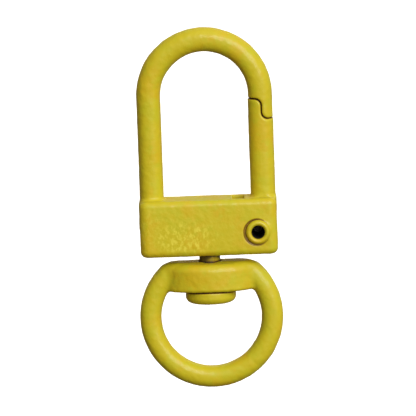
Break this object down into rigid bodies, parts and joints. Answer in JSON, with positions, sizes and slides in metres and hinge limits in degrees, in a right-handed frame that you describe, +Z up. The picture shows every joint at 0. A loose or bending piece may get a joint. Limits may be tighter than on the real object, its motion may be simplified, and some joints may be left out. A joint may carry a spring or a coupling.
{
  "type": "swivel snap hook",
  "caption": "Small die-cast snap hook: a U-shaped hook closed by a sprung inward-opening gate, on a rectangular base that swivels on an eye ring.",
  "frame": {"origin": "hang point: top of the inside of the hook's arch, on the middle plane and on the swivel axis", "axes": "+Z up along the swivel axis, from the eye ring towards the arch; +X towards the gate; -Y is the front, where the pivot rivet's rolled end shows"},
  "size_m": [0.013, 0.0053, 0.033],
  "materials": {
    "yellow_paint": "semi-gloss sprayed paint with a fine orange peel",
    "painted_rivet": "semi-gloss sprayed paint over steel, bare and dark in the bore and on the shank",
    "spring_steel": "drawn spring wire"
  },
  "bodies": {
    "hook": {"hook_body": "yellow_paint", "pivot_rivet": "painted_rivet", "swivel_rivet": "painted_rivet", "gate_spring": "spring_steel"},
    "gate": {"gate": "yellow_paint"},
    "eye": {"swivel_eye": "yellow_paint"}
  },
  "joints": [
    {"name": "gate_pivot", "type": "hinge", "parent": "hook", "child": "gate", "pos_m": [0.00445, 0, -0.01633], "axis": [0, -1, 0], "range_deg": [0, 25], "stiffness_Nm_per_rad": 0.0057, "springref_deg": -34.38, "deforming": ["gate_spring"]},
    {"name": "eye_swivel", "type": "hinge", "parent": "hook", "child": "eye", "pos_m": [0, 0, -0.0192], "axis": [0, 0, 1], "continuous": true}
  ]
}
